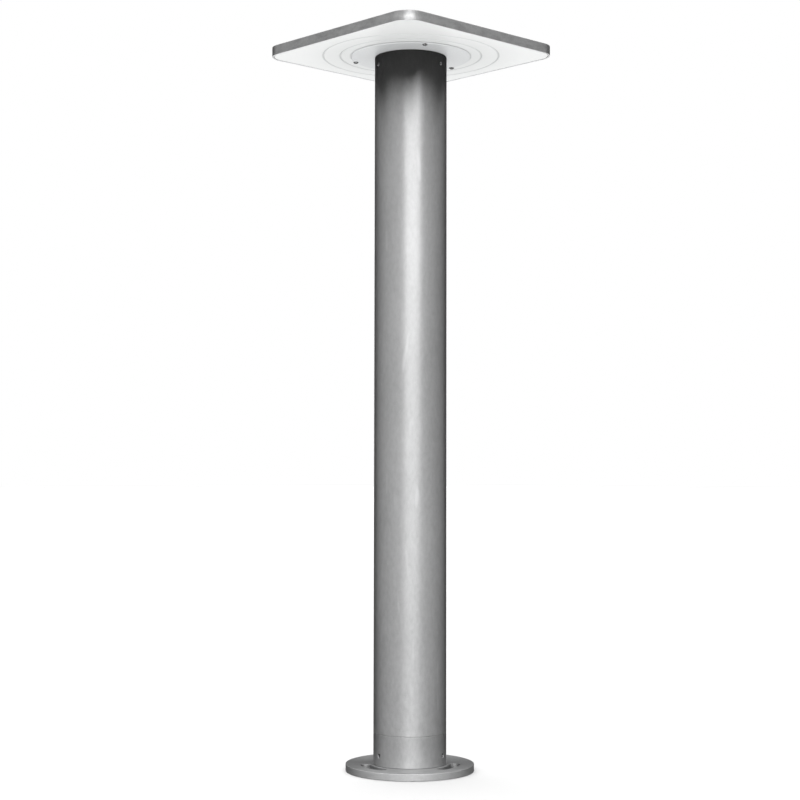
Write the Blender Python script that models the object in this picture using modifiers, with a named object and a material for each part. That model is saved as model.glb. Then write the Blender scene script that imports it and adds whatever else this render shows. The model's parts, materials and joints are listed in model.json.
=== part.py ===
"""Bollard light: a round aluminium post on a slotted base flange, with a flat square lamp head on top.

Frame: +Z up, origin at the centre of the flange's underside. Lengths are metres.
Azimuths are degrees round the post, measured from -Y towards +X.
The flange, collar, post and control gear stand still. The head turns about the post's axis.
"""
import math

import bmesh
import bpy
from mathutils import Matrix, Vector

# ---------------------------------------------------------------- driving dimensions
GAP = 0.0003                  # clearance between pieces that touch

TOTAL_HEIGHT = 1.000
POST_RADIUS = 0.050
TUBE_WALL = 0.003

HEAD_SIDE = 0.290
HEAD_HEIGHT = 0.0135
HEAD_CORNER = 0.0275

FLANGE_RADIUS = 0.088
FLANGE_THICKNESS = 0.0095
CABLE_HOLE_RADIUS = 0.030
SLOT_RADIUS = 0.062           # from the post's axis to the middle of a bolt slot
SLOT_WIDTH = 0.014
SLOT_HALF_SPAN = 25.0         # degrees, round ends included
SLOT_AZIMUTH = -10.3

COLLAR_TOP = 0.052
COLLAR_BORE = 0.040
COLLAR_SCREW_PLACE = 0.045    # radius of the circle of screws that hold the collar from below
COLLAR_SCREW_TOP = 0.019
COLLAR_SCREW_HOLE = 0.0028
COUNTERSINK_RADIUS = 0.0051
BASE_GRUB_HEIGHT = 0.0236
BASE_GRUB_RADIUS = 0.0030
TOP_GRUB_HEIGHT = 0.9705
TOP_GRUB_AZIMUTH = -17.7
TOP_GRUB_RADIUS = 0.0025

HUB_PLATE_RADIUS = 0.084
HUB_PLATE_THICKNESS = 0.0015
HUB_SCREW_RADIUS = 0.0805     # from the post's axis to a hub screw
HUB_SCREW_AZIMUTH = 60.0
RING_RADII = (0.098, 0.122)   # grooves pressed into the diffuser

LEAD_RADIUS = 0.0018
FEED_RADIUS = 0.0025

# ---------------------------------------------------------------- heights and radii that follow
TUBE_BORE = POST_RADIUS - TUBE_WALL
SPIGOT_RADIUS = TUBE_BORE - GAP
HEAD_UNDERSIDE = TOTAL_HEIGHT - HEAD_HEIGHT
HUB_PLATE_BOTTOM = HEAD_UNDERSIDE - HUB_PLATE_THICKNESS
TUBE_BOTTOM = COLLAR_TOP + GAP
TUBE_TOP = HUB_PLATE_BOTTOM - GAP

DIFFUSER_BOTTOM = HEAD_UNDERSIDE + GAP
DIFFUSER_TOP = DIFFUSER_BOTTOM + 0.002
DIFFUSER_BORE = 0.070
RIM_WALL = 0.0025
LEDGE_HEIGHT = DIFFUSER_TOP + 0.0031
ROOF_UNDERSIDE = TOTAL_HEIGHT - 0.0015
SPREADER_TOP = ROOF_UNDERSIDE - GAP
SPREADER_BOTTOM = SPREADER_TOP - 0.002
BOARD_TOP = SPREADER_BOTTOM - GAP
BOARD_BOTTOM = BOARD_TOP - 0.0016
BOARD_RADIUS = 0.126
BOARD_BORE = 0.088
BOARD_SCREW_PLACE = 0.095
LED_COUNT = 18
LED_PLACE = 0.112
LED_SIZE = 0.0035
LED_DEPTH = 0.0009
SOLDERED = 0.0004             # how far a soldered piece is sunk into the board
TERMINAL_HEIGHT = 0.0042
TERMINAL_OUTER = 0.100
TERMINAL_INNER = 0.0895
STUD_PLACE = 0.112
STUD_RADIUS = 0.002
STUD_NUT_HEIGHT = 0.0032
SPREADER_SIDE = 0.262
SPREADER_CORNER = 0.015
SPREADER_BORE = 0.022

SPIGOT_FLANGE_RADIUS = 0.0695
SPIGOT_BORE = 0.0425
SPIGOT_BOTTOM = 0.925
SEAL_LOW = 0.9448             # the o-ring's groove
SEAL_HIGH = 0.9492
SPIGOT_FLOOR = SPIGOT_BOTTOM + 0.004
SPIGOT_BOLT_PLACE = 0.058
GLAND_HOLE = 0.009
NOTCH_WIDTH = 0.008
NOTCH_DEPTH = 0.0064

INSERT_TOP = 0.108
INSERT_WEB = INSERT_TOP - 0.004
INSERT_RADIUS = COLLAR_BORE - GAP
INSERT_BORE = 0.034
INSERT_STEP = 0.056
CABLE_WAY = 0.022

TRAY_FACE = 0.012             # the tray's front face, on +Y, which the gear is screwed to
TRAY_SHEET = 0.0015
TRAY_HALF_WIDTH = 0.028
TRAY_BOTTOM = INSERT_TOP + GAP
TRAY_TOP = 0.510
TRAY_FOOT = 0.036
GEAR_BACK = TRAY_FACE - GAP
TRAY_SCREW_PLACE = (0.018, 0.029)

DRIVER_SIZE = (0.042, 0.030, 0.150)
DRIVER_BOTTOM = 0.330
DRIVER_TOP = DRIVER_BOTTOM + DRIVER_SIZE[2]
DRIVER_LUG = 0.013
LUG_SHEET = 0.003
BLOCK_SIZE = (0.030, 0.018, 0.024)
BLOCK_BOTTOM = 0.226
BLOCK_TOP = BLOCK_BOTTOM + BLOCK_SIZE[2]
BLOCK_MIDDLE = BLOCK_BOTTOM + BLOCK_SIZE[2] / 2
BLOCK_WAYS = (-0.010, 0.0, 0.010)
BLOCK_SCREW = 0.005
CLAMP_HEIGHT = 0.150
CLAMP_SIZE = (0.030, 0.008, 0.012)
CLAMP_SCREW = 0.014
EARTH_PLACE = (0.016, 0.185)
PLUG_BOTTOM = 0.890
PLUG_TOP = 0.904
SOCKET_BOTTOM = 0.862

FULL_TURN = 48                # facets round the large turned pieces
INNER_TURN = 32               # facets round the sleeves that other pieces hide
FLANGE_TURN = 72
SMALL_TURN = 10               # facets round the fasteners
GRUB_TURN = 12
MERGE = 0.00001

M3_HOLE = 0.0018
M4_HOLE = 0.0023
M5_HOLE = 0.0028
GRUB_SUNK = 0.0008            # how far the base grub screws stand below the collar's face
WIRE_DEPTH = 0.0027           # y of the wires that enter the terminal block
FEED_DEPTH = -0.0033          # y of the leads at the driver's two ends

THIRDS = (0.0, 120.0, 240.0)

MODEL = None
CUTTERS = None


# ---------------------------------------------------------------- scene, materials, placing
def clear_scene():
    for scene_object in list(bpy.data.objects):
        bpy.data.objects.remove(scene_object, do_unlink=True)


def add_collection(name):
    collection = bpy.data.collections.new(name)
    bpy.context.scene.collection.children.link(collection)
    return collection


def finish_material(name, colour, roughness, metallic):
    material = bpy.data.materials.get(name)
    if material is None:
        material = bpy.data.materials.new(name)
        material.use_nodes = True
        shader = material.node_tree.nodes["Principled BSDF"]
        shader.inputs["Base Color"].default_value = (*colour, 1.0)
        shader.inputs["Roughness"].default_value = roughness
        shader.inputs["Metallic"].default_value = metallic
    return material


def brushed_aluminium():
    return finish_material("brushed_aluminium", (0.50, 0.51, 0.52), 0.38, 1.0)


def hub_aluminium():
    return finish_material("hub_aluminium", (0.66, 0.66, 0.67), 0.32, 1.0)


def coated_aluminium():
    return finish_material("coated_aluminium", (0.38, 0.39, 0.40), 0.50, 0.9)


def stainless_steel():
    return finish_material("stainless_steel", (0.60, 0.60, 0.58), 0.30, 1.0)


def galvanised_steel():
    return finish_material("galvanised_steel", (0.50, 0.52, 0.54), 0.45, 0.9)


def opal_acrylic():
    return finish_material("opal_acrylic", (0.86, 0.87, 0.86), 0.40, 0.0)


def black_rubber():
    return finish_material("black_rubber", (0.02, 0.02, 0.02), 0.75, 0.0)


def grey_nylon():
    return finish_material("grey_nylon", (0.10, 0.10, 0.11), 0.55, 0.0)


def white_plastic():
    return finish_material("white_plastic", (0.72, 0.72, 0.70), 0.45, 0.0)


def brass():
    return finish_material("brass", (0.60, 0.45, 0.18), 0.35, 1.0)


def board_mask():
    return finish_material("board_mask", (0.80, 0.82, 0.80), 0.35, 0.0)


def earth_insulation():
    return finish_material("earth_insulation", (0.10, 0.32, 0.06), 0.45, 0.0)


def keep(piece, material):
    """Give a finished piece its material and put it in the model's collection."""
    piece.data.materials.clear()
    piece.data.materials.append(material)
    for collection in list(piece.users_collection):
        collection.objects.unlink(piece)
    MODEL.objects.link(piece)
    if piece.type == "MESH":
        piece.data.shade_smooth()
        piece.data.set_sharp_from_angle(angle=math.radians(35))
    return piece


def mesh_object(name, mesh):
    piece = bpy.data.objects.new(name, mesh)
    CUTTERS.objects.link(piece)
    return piece


def evaluated(piece):
    """The mesh of a piece with its modifiers done, in world space. The piece itself is removed."""
    bpy.context.view_layer.update()
    graph = bpy.context.evaluated_depsgraph_get()
    mesh = bpy.data.meshes.new_from_object(piece.evaluated_get(graph))
    mesh.transform(piece.matrix_world)
    bpy.data.objects.remove(piece, do_unlink=True)
    return mesh


# ---------------------------------------------------------------- places
def polar(radius, azimuth):
    turn = math.radians(azimuth)
    return radius * math.sin(turn), -radius * math.cos(turn)


def upright(radius, azimuth, height):
    """A place on a circle round the post, its axis up."""
    x, y = polar(radius, azimuth)
    return Matrix.Translation((x, y, height))


def hanging(radius, azimuth, height):
    """A place on a circle round the post, its axis down."""
    return upright(radius, azimuth, height) @ Matrix.Rotation(math.pi, 4, "X")


def outward(radius, azimuth, height):
    """A place on a circle round the post, its axis pointing away from the post."""
    turn = Vector(polar(1.0, azimuth)).to_3d().to_track_quat("Z", "Y")
    return upright(radius, azimuth, height) @ turn.to_matrix().to_4x4()


def forward(x, y, z):
    """A place on the gear tray, its axis towards -Y."""
    return Matrix.Translation((x, y, z)) @ Matrix.Rotation(math.radians(90), 4, "X")


# ---------------------------------------------------------------- outlines
def circle(radius, steps, centre=(0.0, 0.0)):
    points = []
    for step in range(steps):
        turn = 2 * math.pi * step / steps
        points.append((centre[0] + radius * math.cos(turn), centre[1] + radius * math.sin(turn)))
    return points


def rounded_square(side, corner, arc_steps=6):
    points = []
    inset = side / 2 - corner
    for quarter in range(4):
        middle = math.radians(45 + 90 * quarter)
        centre_x = math.copysign(inset, math.cos(middle))
        centre_y = math.copysign(inset, math.sin(middle))
        for step in range(arc_steps + 1):
            turn = math.radians(90 * quarter + 90 * step / arc_steps)
            points.append((centre_x + corner * math.cos(turn), centre_y + corner * math.sin(turn)))
    return points


def kidney(centre_radius, width, azimuth, half_span, arc_steps=8, end_steps=5):
    """A slot that follows a circle, with round ends."""
    end_turn = math.degrees(width / 2 / centre_radius)
    reach = half_span - end_turn
    points = []
    for step in range(arc_steps + 1):
        turn = azimuth - reach + 2 * reach * step / arc_steps
        points.append(polar(centre_radius + width / 2, turn))
    points += round_end(centre_radius, width, azimuth + reach, 0, end_steps)
    for step in range(arc_steps + 1):
        turn = azimuth + reach - 2 * reach * step / arc_steps
        points.append(polar(centre_radius - width / 2, turn))
    points += round_end(centre_radius, width, azimuth - reach, 180, end_steps)
    return points


def round_end(centre_radius, width, azimuth, start, steps):
    centre_x, centre_y = polar(centre_radius, azimuth)
    points = []
    for step in range(1, steps):
        dx, dy = polar(width / 2, azimuth + start + 180 * step / steps)
        points.append((centre_x + dx, centre_y + dy))
    return points


# ---------------------------------------------------------------- solids
def plate(name, loops, bottom, thickness):
    """A flat sheet from closed outlines: the first is its edge, the others are holes."""
    curve = bpy.data.curves.new(name + "_outline", "CURVE")
    curve.dimensions = "2D"
    curve.fill_mode = "BOTH"
    curve.extrude = thickness / 2
    for loop in loops:
        spline = curve.splines.new("POLY")
        spline.points.add(len(loop) - 1)
        spline.use_cyclic_u = True
        for point, (x, y) in zip(spline.points, loop):
            point.co = (x, y, 0.0, 1.0)
    sheet = bpy.data.objects.new(name + "_outline", curve)
    CUTTERS.objects.link(sheet)
    sheet.location.z = bottom + thickness / 2
    mesh = evaluated(sheet)
    weld(mesh)
    mesh.name = name
    return mesh_object(name, mesh)


def weld(mesh):
    shape = bmesh.new()
    shape.from_mesh(mesh)
    bmesh.ops.remove_doubles(shape, verts=shape.verts, dist=MERGE)
    bmesh.ops.recalc_face_normals(shape, faces=shape.faces)
    shape.to_mesh(mesh)
    shape.free()


def turned(name, profile, steps=FULL_TURN, closed=True):
    """A profile of (radius, height) points turned about Z. Its outer side runs from the top down."""
    mesh = bpy.data.meshes.new(name)
    edges = [(index, index + 1) for index in range(len(profile) - 1)]
    if closed:
        edges.append((len(profile) - 1, 0))
    mesh.from_pydata([(radius, 0.0, height) for radius, height in profile], edges, [])
    piece = mesh_object(name, mesh)
    screw = piece.modifiers.new("turn", "SCREW")
    screw.axis = "Z"
    screw.angle = 2 * math.pi
    screw.steps = steps
    screw.render_steps = steps
    screw.use_merge_vertices = True
    screw.merge_threshold = MERGE
    screw.use_smooth_shade = False
    return piece


def box(name, low, high, bevel=0.0):
    size = [top - bottom for bottom, top in zip(low, high)]
    shape = bmesh.new()
    bmesh.ops.create_cube(shape, size=1.0)
    bmesh.ops.scale(shape, vec=size, verts=shape.verts)
    middle = [(top + bottom) / 2 for bottom, top in zip(low, high)]
    bmesh.ops.translate(shape, vec=middle, verts=shape.verts)
    mesh = bpy.data.meshes.new(name)
    shape.to_mesh(mesh)
    shape.free()
    piece = mesh_object(name, mesh)
    if bevel:
        add_bevel(piece, bevel)
    return piece


def add_bevel(piece, width, segments=1):
    bevel = piece.modifiers.new("edges", "BEVEL")
    bevel.width = width
    bevel.segments = segments
    bevel.limit_method = "ANGLE"
    bevel.angle_limit = math.radians(40)


def rod(name, radius, low, high, sides=SMALL_TURN):
    """A solid bar about the local Z axis."""
    shape = bmesh.new()
    height = high - low
    bmesh.ops.create_cone(
        shape, cap_ends=True, segments=sides, radius1=radius, radius2=radius, depth=height)
    bmesh.ops.translate(shape, vec=(0, 0, low + height / 2), verts=shape.verts)
    mesh = bpy.data.meshes.new(name)
    shape.to_mesh(mesh)
    shape.free()
    return mesh_object(name, mesh)


def repeated(name, template, places):
    """A cutter or stud group: one object with a separate copy of the template at each place."""
    pattern = evaluated(template)
    shape = bmesh.new()
    for place in places:
        copy = pattern.copy()
        copy.transform(place)
        shape.from_mesh(copy)
        bpy.data.meshes.remove(copy)
    bpy.data.meshes.remove(pattern)
    mesh = bpy.data.meshes.new(name)
    shape.to_mesh(mesh)
    shape.free()
    return mesh_object(name, mesh)


def copies(name, template, places, material):
    """Identical pieces that share one mesh, each its own object: name_1, name_2 and so on."""
    mesh = evaluated(template)
    mesh.name = name
    pieces = []
    for number, place in enumerate(places, 1):
        piece = mesh_object("%s_%d" % (name, number), mesh)
        piece.matrix_world = place
        pieces.append(keep(piece, material))
    return pieces


def combine(target, tool, operation):
    tool.hide_render = True
    tool.display_type = "WIRE"
    boolean = target.modifiers.new(tool.name, "BOOLEAN")
    boolean.operation = operation
    boolean.solver = "EXACT"
    boolean.object = tool


def cut(target, tool):
    combine(target, tool, "DIFFERENCE")


def join(target, tool):
    combine(target, tool, "UNION")


def holes(name, radius, low, high, places, sides=SMALL_TURN):
    return repeated(name, rod(name + "_bar", radius, low, high, sides), places)


def hole_ring(radius, place, azimuths):
    """Outlines of equal holes on a circle round the post."""
    return [circle(radius, SMALL_TURN, polar(place, azimuth)) for azimuth in azimuths]


def smooth_route(points, spacing):
    """Points every spacing or so along a Catmull-Rom curve through the given ones."""
    route = [Vector(point) for point in points]
    padded = [2 * route[0] - route[1]] + route + [2 * route[-1] - route[-2]]
    path = [route[0]]
    for index in range(1, len(padded) - 2):
        before, start, end, after = padded[index - 1:index + 3]
        pieces = max(1, round((end - start).length / spacing))
        for piece in range(1, pieces + 1):
            t = piece / pieces
            bend = (2 * start + (end - before) * t
                    + (2 * before - 5 * start + 4 * end - after) * t ** 2
                    + (3 * start - before - 3 * end + after) * t ** 3)
            path.append(bend / 2)
    return path


def lead(name, points, radius, material, spacing):
    curve = bpy.data.curves.new(name, "CURVE")
    curve.dimensions = "3D"
    curve.bevel_depth = radius
    curve.bevel_resolution = 2
    curve.use_fill_caps = True
    path = smooth_route(points, spacing)
    spline = curve.splines.new("POLY")
    spline.points.add(len(path) - 1)
    for point, place in zip(spline.points, path):
        point.co = (*place, 1.0)
    piece = bpy.data.objects.new(name, curve)
    CUTTERS.objects.link(piece)
    return keep(piece, material)


# ---------------------------------------------------------------- fasteners
def pan_screw(name, shank, length, head=None, head_height=None, sides=SMALL_TURN):
    """A pan-head screw: seat at local z = 0, head above it, shank below it, with a recess."""
    head = head or shank * 1.85
    head_height = head_height or shank * 1.2
    recess = shank * 0.75
    floor = head_height * 0.4
    profile = [
        (0.0, floor), (recess, floor), (recess, head_height), (head * 0.8, head_height),
        (head, head_height * 0.6), (head, 0.0), (shank, 0.0), (shank, -length), (0.0, -length),
    ]
    return turned(name, profile, sides, closed=False)


def grub_screw(name, radius, length):
    """A set screw: open socket end at local z = 0, point at -length."""
    depth = length * 0.45
    profile = [
        (radius * 0.55, -depth), (radius * 0.55, 0.0), (radius * 0.85, 0.0), (radius, -0.0004),
        (radius, -length + 0.0008), (radius * 0.7, -length), (0.0, -length),
    ]
    return turned(name, [(0.0, -depth)] + profile, GRUB_TURN, closed=False)


def hex_nut(name, flats, bore, height, bore_sides=SMALL_TURN):
    """A nut on local z = 0."""
    corner = flats / 2 / math.cos(math.pi / 6)
    return plate(name, [circle(corner, 6), circle(bore, bore_sides)], 0.0, height)


# ---------------------------------------------------------------- base
def slot_azimuths():
    return [SLOT_AZIMUTH + turn for turn in THIRDS]


def collar_screw_azimuths():
    return [azimuth + 60 for azimuth in slot_azimuths()]


def collar_screw_places():
    return [upright(COLLAR_SCREW_PLACE, azimuth, 0.0) for azimuth in collar_screw_azimuths()]


def base_flange():
    chamfer = 0.0008
    profile = [
        (CABLE_HOLE_RADIUS, FLANGE_THICKNESS), (FLANGE_RADIUS - chamfer, FLANGE_THICKNESS),
        (FLANGE_RADIUS, FLANGE_THICKNESS - chamfer), (FLANGE_RADIUS, 0.0), (CABLE_HOLE_RADIUS, 0.0),
    ]
    flange = turned("base_flange", profile, FLANGE_TURN)
    for number, azimuth in enumerate(slot_azimuths()):
        outline = kidney(SLOT_RADIUS, SLOT_WIDTH, azimuth, SLOT_HALF_SPAN)
        cut(flange, plate("slot_cutter_%d" % number, [outline], -0.002, FLANGE_THICKNESS + 0.004))
    sink_profile = [
        (0.0, 0.020), (COLLAR_SCREW_HOLE, 0.020), (COLLAR_SCREW_HOLE, 0.0030), (COUNTERSINK_RADIUS, 0.0006),
        (COUNTERSINK_RADIUS, -0.002), (0.0, -0.002),
    ]
    sink = turned("sink_shape", sink_profile, SMALL_TURN, closed=False)
    cut(flange, repeated("countersink_cutter", sink, collar_screw_places()))
    return keep(flange, coated_aluminium())


def base_collar():
    chamfer = 0.0003
    bottom = FLANGE_THICKNESS + GAP
    profile = [
        (COLLAR_BORE, COLLAR_TOP), (POST_RADIUS - chamfer, COLLAR_TOP), (POST_RADIUS, COLLAR_TOP - chamfer),
        (POST_RADIUS, bottom), (COLLAR_BORE, bottom),
    ]
    collar = turned("base_collar", profile)
    places = [outward(POST_RADIUS, azimuth, BASE_GRUB_HEIGHT) for azimuth in slot_azimuths()]
    cut(collar, holes("grub_hole_cutter", BASE_GRUB_RADIUS + GAP, -0.025, 0.015, places, GRUB_TURN))
    cut(collar, holes("collar_screw_cutter", COLLAR_SCREW_HOLE, 0.0, 0.020, collar_screw_places()))
    return keep(collar, brushed_aluminium())


def collar_screws():
    shank = COLLAR_SCREW_HOLE - GAP
    profile = [
        (0.0, COLLAR_SCREW_TOP), (shank, COLLAR_SCREW_TOP), (shank, 0.0030), (0.0046, 0.0008),
        (0.0018, 0.0008), (0.0018, 0.0020), (0.0, 0.0020),
    ]
    screw = turned("countersunk", profile, SMALL_TURN, closed=False)
    return copies("collar_screw", screw, collar_screw_places(), stainless_steel())


def base_spigot():
    shoulder = COLLAR_TOP + GAP
    bottom = FLANGE_THICKNESS + GAP
    profile = [
        (CABLE_WAY, INSERT_TOP), (SPIGOT_RADIUS, INSERT_TOP), (SPIGOT_RADIUS, shoulder),
        (INSERT_RADIUS, shoulder), (INSERT_RADIUS, bottom),
        (INSERT_BORE, bottom), (INSERT_BORE, INSERT_STEP),
        (SPIGOT_BORE, INSERT_STEP), (SPIGOT_BORE, INSERT_WEB), (CABLE_WAY, INSERT_WEB),
    ]
    spigot = turned("base_spigot", profile, INNER_TURN)
    side, back = TRAY_SCREW_PLACE
    places = [Matrix.Translation((x, back, 0.0)) for x in (-side, side)]
    cut(spigot, holes("tray_screw_cutter", M4_HOLE, INSERT_WEB - 0.004, INSERT_TOP + 0.012, places))
    return keep(spigot, coated_aluminium())


def base_grub_screws():
    face = POST_RADIUS - GRUB_SUNK
    screw = grub_screw("grub", BASE_GRUB_RADIUS, face - COLLAR_BORE)
    places = [outward(face, azimuth, BASE_GRUB_HEIGHT) for azimuth in slot_azimuths()]
    return copies("base_grub_screw", screw, places, stainless_steel())


# ---------------------------------------------------------------- post
def top_grub_azimuths():
    return [TOP_GRUB_AZIMUTH + turn for turn in THIRDS]


def post_tube():
    profile = [
        (TUBE_BORE, TUBE_TOP), (POST_RADIUS, TUBE_TOP),
        (POST_RADIUS, TUBE_BOTTOM), (TUBE_BORE, TUBE_BOTTOM),
    ]
    tube = turned("post_tube", profile)
    places = [outward(POST_RADIUS, azimuth, TOP_GRUB_HEIGHT) for azimuth in top_grub_azimuths()]
    cut(tube, holes("top_grub_cutter", TOP_GRUB_RADIUS + GAP, -0.01, 0.01, places, GRUB_TURN))
    return keep(tube, brushed_aluminium())


def top_grub_screws():
    screw = grub_screw("grub", TOP_GRUB_RADIUS, 0.0038)
    places = [outward(POST_RADIUS - 0.0004, azimuth, TOP_GRUB_HEIGHT) for azimuth in top_grub_azimuths()]
    return copies("top_grub_screw", screw, places, stainless_steel())


# ---------------------------------------------------------------- control gear
def gear_tray():
    """A strip folded into an L: its foot lies on the spigot's web, its face carries the gear."""
    back = TRAY_FACE + TRAY_SHEET
    outline = [(TRAY_FACE, 0.0), (TRAY_FOOT, 0.0), (TRAY_FOOT, TRAY_SHEET), (back, TRAY_SHEET),
               (back, TRAY_TOP - TRAY_BOTTOM), (TRAY_FACE, TRAY_TOP - TRAY_BOTTOM)]
    tray = plate("gear_tray", [outline], -TRAY_HALF_WIDTH, 2 * TRAY_HALF_WIDTH)
    tray.data.transform(Matrix(((0, 0, 1, 0), (1, 0, 0, 0), (0, 1, 0, TRAY_BOTTOM), (0, 0, 0, 1))))
    wide = [forward(0.0, 0.0, height) for height in driver_screw_heights()]
    cut(tray, holes("driver_hole_cutter", M4_HOLE, -0.03, 0.03, wide))
    narrow = [forward(BLOCK_SCREW, 0.0, BLOCK_MIDDLE), forward(CLAMP_SCREW, 0.0, CLAMP_HEIGHT)]
    cut(tray, holes("small_hole_cutter", M3_HOLE, -0.03, 0.03, narrow))
    earth_x, earth_height = EARTH_PLACE
    cut(tray, holes("earth_hole_cutter", M5_HOLE, -0.03, 0.03, [forward(earth_x, 0.0, earth_height)]))
    side, depth = TRAY_SCREW_PLACE
    foot = [Matrix.Translation((x, depth, TRAY_BOTTOM)) for x in (-side, side)]
    cut(tray, holes("foot_hole_cutter", M4_HOLE, -0.01, 0.01, foot))
    return keep(tray, galvanised_steel())


def tray_screws():
    side, depth = TRAY_SCREW_PLACE
    seat = TRAY_BOTTOM + TRAY_SHEET + GAP
    places = [Matrix.Translation((x, depth, seat)) for x in (-side, side)]
    return copies("tray_screw", pan_screw("pan", 0.002, 0.0068), places, stainless_steel())


def driver_screw_heights():
    return (DRIVER_BOTTOM - DRIVER_LUG / 2, DRIVER_TOP + DRIVER_LUG / 2)


def led_driver():
    half = DRIVER_SIZE[0] / 2
    front = GEAR_BACK - DRIVER_SIZE[1]
    driver = box("led_driver", (-half, front, DRIVER_BOTTOM), (half, GEAR_BACK, DRIVER_TOP))
    lugs = box("driver_lug_shape", (-half + 0.001, GEAR_BACK - LUG_SHEET, DRIVER_BOTTOM - DRIVER_LUG),
               (half - 0.001, GEAR_BACK - 0.0002, DRIVER_TOP + DRIVER_LUG))
    join(driver, lugs)
    places = [forward(0.0, 0.0, height) for height in driver_screw_heights()]
    cut(driver, holes("lug_hole_cutter", M4_HOLE, -0.03, 0.03, places))
    add_bevel(driver, 0.0006)
    return keep(driver, white_plastic())


def driver_screws():
    seat = GEAR_BACK - LUG_SHEET - GAP
    places = [forward(0.0, seat, height) for height in driver_screw_heights()]
    return copies("driver_screw", pan_screw("pan", 0.002, 0.0080), places, stainless_steel())


def terminal_block():
    half = BLOCK_SIZE[0] / 2
    front = GEAR_BACK - BLOCK_SIZE[1]
    block = box("terminal_block", (-half, front, BLOCK_BOTTOM), (half, GEAR_BACK, BLOCK_TOP))
    cut(block, holes("block_screw_cutter", M3_HOLE, -0.03, 0.03, [forward(BLOCK_SCREW, 0.0, BLOCK_MIDDLE)]))
    ways = [Matrix.Translation((x, WIRE_DEPTH, z)) for x in BLOCK_WAYS for z in (BLOCK_BOTTOM, BLOCK_TOP)]
    cut(block, holes("wire_way_cutter", 0.0022, -0.006, 0.006, ways))
    clamps = [forward(x, front, z) for x in BLOCK_WAYS for z in (BLOCK_BOTTOM + 0.005, BLOCK_TOP - 0.005)]
    cut(block, holes("clamp_recess_cutter", 0.0018, -0.002, 0.002, clamps, 8))
    return keep(block, white_plastic())


def terminal_block_screw():
    seat = GEAR_BACK - BLOCK_SIZE[1] - GAP
    screw = pan_screw("terminal_block_screw", 0.0015, 0.0225)
    screw.matrix_world = forward(BLOCK_SCREW, seat, BLOCK_MIDDLE)
    return keep(screw, stainless_steel())


def cable_clamp():
    """A saddle over the supply cable's place, held by one screw, with a heel on its other side."""
    low = CLAMP_HEIGHT - CLAMP_SIZE[2] / 2
    high = CLAMP_HEIGHT + CLAMP_SIZE[2] / 2
    right = CLAMP_SCREW + 0.006
    left = right - CLAMP_SIZE[0]
    clamp = box("cable_clamp", (left, GEAR_BACK - CLAMP_SIZE[1], low), (right, GEAR_BACK, high), 0.001)
    cut(clamp, holes("cable_groove_cutter", 0.0055, low - 0.01, high + 0.01,
                     [Matrix.Translation((0.0, GEAR_BACK + 0.001, 0.0))], 16))
    cut(clamp, holes("clamp_screw_cutter", M3_HOLE, -0.03, 0.03, [forward(CLAMP_SCREW, 0.0, CLAMP_HEIGHT)]))
    return keep(clamp, grey_nylon())


def cable_clamp_screw():
    screw = pan_screw("cable_clamp_screw", 0.0015, 0.0125)
    screw.matrix_world = forward(CLAMP_SCREW, GEAR_BACK - CLAMP_SIZE[1] - GAP, CLAMP_HEIGHT)
    return keep(screw, stainless_steel())


def earth_bolt():
    x, height = EARTH_PLACE
    bolt = rod("earth_bolt", 0.0046, 0.0, 0.0035, 6)
    join(bolt, rod("earth_shank_shape", 0.0025, 0.002, 0.0205))
    bolt.matrix_world = forward(x, TRAY_FACE + TRAY_SHEET + GAP + 0.0035, height)
    for modifier in bolt.modifiers:
        modifier.object.matrix_world = bolt.matrix_world
    return keep(bolt, stainless_steel())


def earth_washer():
    x, height = EARTH_PLACE
    washer = plate("earth_washer", [circle(0.0052, 20), circle(M5_HOLE, 20)], 0.0, 0.001)
    washer.matrix_world = forward(x, GEAR_BACK, height)
    return keep(washer, stainless_steel())


def earth_eyelet():
    """A crimped ring terminal under the earth nut, its barrel pointing up."""
    x, height = EARTH_PLACE
    face = GEAR_BACK - 0.001 - GAP
    eyelet = plate("earth_eyelet", [circle(0.0048, 20), circle(M5_HOLE, 20)], 0.0, 0.001)
    eyelet.data.transform(forward(x, face, height))
    join(eyelet, box("eyelet_neck_shape", (x - 0.002, face - 0.00095, height + 0.0035),
                     (x + 0.002, face - 0.00005, height + 0.009)))
    barrel = rod("eyelet_barrel_shape", 0.0021, height + 0.007, height + 0.0125)
    barrel.location = (x, face - 0.0018, 0.0)
    join(eyelet, barrel)
    return keep(eyelet, brass())


def earth_nut():
    x, height = EARTH_PLACE
    nut = hex_nut("earth_nut", 0.008, M5_HOLE, 0.004)
    nut.matrix_world = forward(x, GEAR_BACK - 0.002 - 2 * GAP, height)
    return keep(nut, stainless_steel())


def earth_lead():
    x, height = EARTH_PLACE
    start = height + 0.0125 + GAP
    across = BLOCK_WAYS[2]
    depth = GEAR_BACK - 0.001 - GAP - 0.0018
    points = [(x, depth, start), (x, depth - 0.001, start + 0.006), (x - 0.002, 0.005, start + 0.014),
              (across, WIRE_DEPTH, BLOCK_BOTTOM - 0.006), (across, WIRE_DEPTH, BLOCK_BOTTOM + 0.005)]
    return lead("earth_lead", points, 0.0015, earth_insulation(), 0.004)


def terminal_lead():
    points = [(0.0, WIRE_DEPTH, BLOCK_TOP - 0.005), (0.0, WIRE_DEPTH, BLOCK_TOP + 0.006),
              (0.004, -0.002, BLOCK_TOP + 0.03), (0.002, -0.004, DRIVER_BOTTOM - 0.02),
              (0.0, FEED_DEPTH, DRIVER_BOTTOM - 0.006), (0.0, FEED_DEPTH, DRIVER_BOTTOM - GAP)]
    return lead("terminal_lead", points, LEAD_RADIUS, grey_nylon(), 0.009)


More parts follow.
